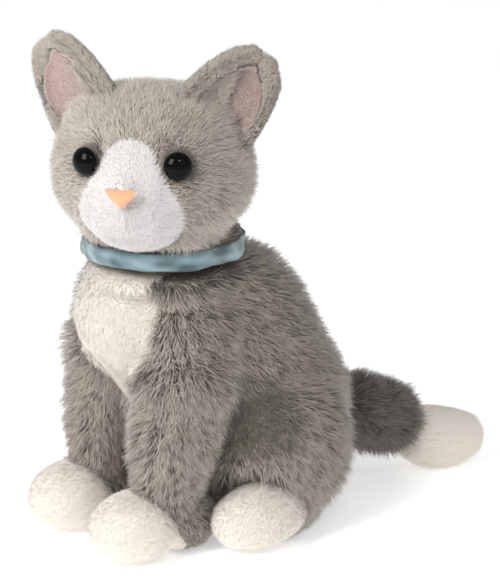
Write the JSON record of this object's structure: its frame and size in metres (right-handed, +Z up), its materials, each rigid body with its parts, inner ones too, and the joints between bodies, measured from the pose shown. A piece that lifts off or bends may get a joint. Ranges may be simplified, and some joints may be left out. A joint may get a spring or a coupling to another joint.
{
  "type": "plush cat",
  "caption": "Seated soft plush cat with a turning head, folding ears, swinging front legs, lifting hind paws, a two-part tail and a ribbon collar round the neck.",
  "frame": {"origin": "middle of the underside of the seat panel, on the floor", "axes": "+Z up, the cat faces -Y and its left side is +X"},
  "size_m": [0.1224, 0.2376, 0.234],
  "materials": {
    "grey_fur": "matt long pile",
    "white_fur": "matt short pile",
    "pink_lining": "matt velour",
    "peach_thread": "satin stitch",
    "black_plastic": "polished",
    "clear_plastic": "moulded",
    "teal_satin": "satin ribbon",
    "filling": "loose fibre",
    "pouch_cloth": "woven"
  },
  "bodies": {
    "torso": {"torso_skin": "grey_fur", "chest_bib": "white_fur", "seat_panel": "grey_fur", "torso_filling": "filling", "pellet_pouch": "pouch_cloth", "left_haunch_skin": "grey_fur", "left_haunch_filling": "filling", "right_haunch_skin": "grey_fur", "right_haunch_filling": "filling"},
    "neck": {"neck_skin": "grey_fur", "neck_filling": "filling", "ribbon_collar": "teal_satin"},
    "head": {"head_skin": "grey_fur", "face_panel": "white_fur", "head_filling": "filling", "nose_embroidery": "peach_thread", "left_eye": "black_plastic", "right_eye": "black_plastic", "left_eye_washer": "clear_plastic", "right_eye_washer": "clear_plastic"},
    "left_ear": {"left_ear": "grey_fur", "left_ear_lining": "pink_lining"},
    "left_front_leg": {"left_front_leg_skin": "grey_fur", "left_front_paw_skin": "white_fur", "left_front_leg_filling": "filling"},
    "left_hind_paw": {"left_hind_paw_skin": "white_fur", "left_hind_paw_filling": "filling"},
    "right_ear": {"right_ear": "grey_fur", "right_ear_lining": "pink_lining"},
    "right_front_leg": {"right_front_leg_skin": "grey_fur", "right_front_paw_skin": "white_fur", "right_front_leg_filling": "filling"},
    "right_hind_paw": {"right_hind_paw_skin": "white_fur", "right_hind_paw_filling": "filling"},
    "tail": {"tail_skin": "grey_fur", "tail_filling": "filling"},
    "tail_tip": {"tail_tip_skin": "white_fur", "tail_tip_filling": "filling"}
  },
  "joints": [
    {"name": "head_turn", "type": "hinge", "parent": "torso", "child": "neck", "pos_m": [0.0045, -0.04, 0.141], "axis": [0, 0, 1], "range_deg": [-18, 18], "stiffness_Nm_per_rad": 0.3},
    {"name": "head_nod", "type": "hinge", "parent": "neck", "child": "head", "pos_m": [0.0045, -0.04, 0.141], "axis": [0.7771, 0.6293, 0], "range_deg": [-5, 5], "stiffness_Nm_per_rad": 0.9},
    {"name": "left_ear_fold", "type": "hinge", "parent": "head", "child": "left_ear", "pos_m": [0.03468, -0.03357, 0.198], "axis": [0.4869, 0.6461, -0.5878], "range_deg": [-18, 0], "stiffness_Nm_per_rad": 0.01},
    {"name": "left_front_leg_swing", "type": "hinge", "parent": "torso", "child": "left_front_leg", "pos_m": [0.0275, -0.045, 0.082], "axis": [-1, 0, 0], "range_deg": [0, 15], "stiffness_Nm_per_rad": 0.12},
    {"name": "left_hind_paw_lift", "type": "hinge", "parent": "torso", "child": "left_hind_paw", "pos_m": [0.046, -0.004, 0.0152], "axis": [-1, 0, 0], "range_deg": [0, 12], "stiffness_Nm_per_rad": 0.06},
    {"name": "right_ear_fold", "type": "hinge", "parent": "head", "child": "right_ear", "pos_m": [-0.00806, -0.06819, 0.198], "axis": [0.7332, 0.3419, 0.5878], "range_deg": [-18, 0], "stiffness_Nm_per_rad": 0.01},
    {"name": "right_front_leg_swing", "type": "hinge", "parent": "torso", "child": "right_front_leg", "pos_m": [-0.0275, -0.045, 0.082], "axis": [-1, 0, 0], "range_deg": [0, 15], "stiffness_Nm_per_rad": 0.12},
    {"name": "right_hind_paw_lift", "type": "hinge", "parent": "torso", "child": "right_hind_paw", "pos_m": [-0.046, -0.004, 0.0152], "axis": [-1, 0, 0], "range_deg": [0, 12], "stiffness_Nm_per_rad": 0.06},
    {"name": "tail_swing", "type": "hinge", "parent": "torso", "child": "tail", "pos_m": [0, 0.056, 0.038], "axis": [0, 0, 1], "range_deg": [-20, 20], "stiffness_Nm_per_rad": 0.08},
    {"name": "tail_tip_curl", "type": "hinge", "parent": "tail", "child": "tail_tip", "pos_m": [0.006, 0.106, 0.0195], "axis": [0, 0, 1], "range_deg": [-20, 20], "stiffness_Nm_per_rad": 0.03}
  ]
}
